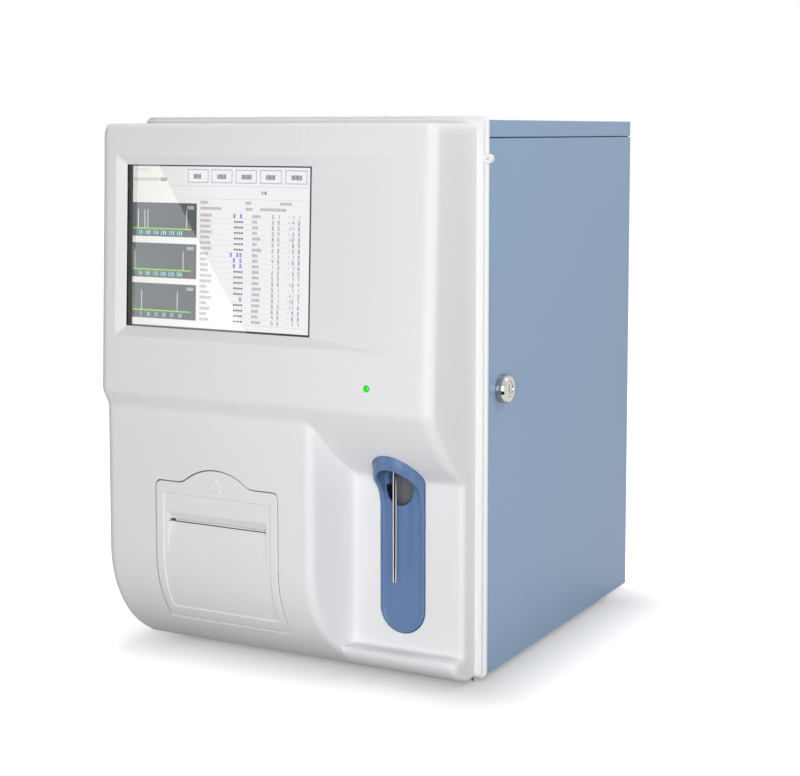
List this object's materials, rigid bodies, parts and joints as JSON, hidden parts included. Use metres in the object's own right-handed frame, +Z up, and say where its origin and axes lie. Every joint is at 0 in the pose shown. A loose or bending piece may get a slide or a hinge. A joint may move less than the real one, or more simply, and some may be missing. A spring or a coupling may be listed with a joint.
{
  "type": "blood cell analyser",
  "caption": "Bench-top blood cell analyser: a steel case with a moulded front, touch screen, strip printer door, sampling bay with lifting probe and start plate, and locked side door.",
  "frame": {"origin": "under the middle of the analyser's box, at the bottom of its feet", "axes": "+X to the viewer's right, +Y from the screen to the rear, +Z up"},
  "size_m": [0.3246, 0.4023, 0.433],
  "materials": {
    "case_paint": "satin powder coat",
    "plated_steel": "zinc plate",
    "white_moulding": "fine spark texture",
    "ground_steel": "ground",
    "black_plastic": "satin",
    "grey_plastic": "satin",
    "blue_plastic": "semi gloss",
    "cover_glass": "polished",
    "lamp_lens": "clear lens",
    "foot_rubber": "moulded",
    "platen_rubber": "ground",
    "paper": "thermal paper",
    "lock_chrome": "polished",
    "clear_acrylic": "clear",
    "white_plastic": "satin",
    "board": "solder mask",
    "earth_brass": "plated"
  },
  "bodies": {
    "analyser": {"left_panel": "case_paint", "rear_panel": "case_paint", "top_cover": "case_paint", "base_pan": "plated_steel", "top_rails": "plated_steel", "front_frame": "plated_steel", "chassis_wall": "plated_steel", "cover_screws": "plated_steel", "lcd_bracket": "plated_steel", "lcd_module": "plated_steel", "print_head": "plated_steel", "key_pin": "plated_steel", "sampler_bracket": "plated_steel", "case_hinges": "plated_steel", "hinge_pins": "plated_steel", "lock_strike": "plated_steel", "power_supply": "plated_steel", "fan_screws": "plated_steel", "data_sockets": "plated_steel", "front_panel": "white_moulding", "guide_rods": "ground_steel", "printer_cradle": "black_plastic", "start_switch": "black_plastic", "probe_wipe": "black_plastic", "lift_motor": "black_plastic", "vacuum_pump": "black_plastic", "power_inlet": "black_plastic", "fan_frame": "black_plastic", "splash_shield": "grey_plastic", "touch_glass": "cover_glass", "status_lamp": "lamp_lens", "feet": "foot_rubber", "counting_baths": "clear_acrylic", "waste_chamber": "clear_acrylic", "syringe_body": "white_plastic", "valve_bank": "white_plastic", "reagent_fittings": "white_plastic", "mainboard": "board", "earth_post": "earth_brass"},
    "side_door": {"side_door": "case_paint", "door_hinges": "plated_steel", "lock_housing": "lock_chrome", "lock_nut": "plated_steel"},
    "lock": {"lock_cylinder": "lock_chrome", "lock_cam": "plated_steel"},
    "printer_door": {"printer_door": "white_moulding"},
    "platen": {"platen_roller": "platen_rubber"},
    "paper": {"paper_roll": "paper"},
    "start_key": {"start_key": "blue_plastic"},
    "probe": {"sample_probe": "ground_steel", "probe_carriage": "black_plastic"},
    "lead_screw": {"lead_screw": "plated_steel"},
    "plunger": {"syringe_plunger": "ground_steel"},
    "power_rocker": {"power_rocker": "black_plastic"},
    "fan": {"fan_rotor": "black_plastic"}
  },
  "joints": [
    {"name": "side_door_hinge", "type": "hinge", "parent": "analyser", "child": "side_door", "pos_m": [0.1425, 0.1869, 0.218], "axis": [0, 0, 1], "range_deg": [0, 105]},
    {"name": "lock_turn", "type": "hinge", "parent": "side_door", "child": "lock", "pos_m": [0.15, -0.0928, 0.2237], "axis": [-1, 0, 0], "range_deg": [0, 90]},
    {"name": "printer_door_hinge", "type": "hinge", "parent": "analyser", "child": "printer_door", "pos_m": [-0.043, -0.17211, 0.0345], "axis": [1, 0, 0], "range_deg": [0, 80]},
    {"name": "platen_spin", "type": "hinge", "parent": "printer_door", "child": "platen", "pos_m": [-0.043, -0.1788, 0.113], "axis": [1, 0, 0], "continuous": true},
    {"name": "paper_spin", "type": "hinge", "parent": "analyser", "child": "paper", "pos_m": [-0.043, -0.1478, 0.0768], "axis": [1, 0, 0], "continuous": true},
    {"name": "start_press", "type": "hinge", "parent": "analyser", "child": "start_key", "pos_m": [0.098, -0.1383, 0.168], "axis": [1, 0, 0], "range_deg": [0, 1.6], "stiffness_Nm_per_rad": 8, "springref_deg": -0.57},
    {"name": "probe_lift", "type": "slide", "parent": "analyser", "child": "probe", "axis": [0, 0, 1], "range_m": [0, 0.08]},
    {"name": "screw_turn", "type": "hinge", "parent": "analyser", "child": "lead_screw", "pos_m": [0.098, -0.1283, 0.25], "axis": [0, 0, 1], "continuous": true},
    {"name": "plunger_draw", "type": "slide", "parent": "analyser", "child": "plunger", "axis": [0, 0, -1], "range_m": [0, 0.04]},
    {"name": "power_switch", "type": "hinge", "parent": "analyser", "child": "power_rocker", "pos_m": [-0.1, 0.1817, 0.1], "axis": [-1, 0, 0], "range_deg": [0, 16]},
    {"name": "fan_spin", "type": "hinge", "parent": "analyser", "child": "fan", "pos_m": [-0.078, 0.1717, 0.33], "axis": [0, 1, 0], "continuous": true}
  ],
  "couplings": [
    {"joint": "screw_turn", "follows": "probe_lift", "rad_per_m": 785.4}
  ]
}
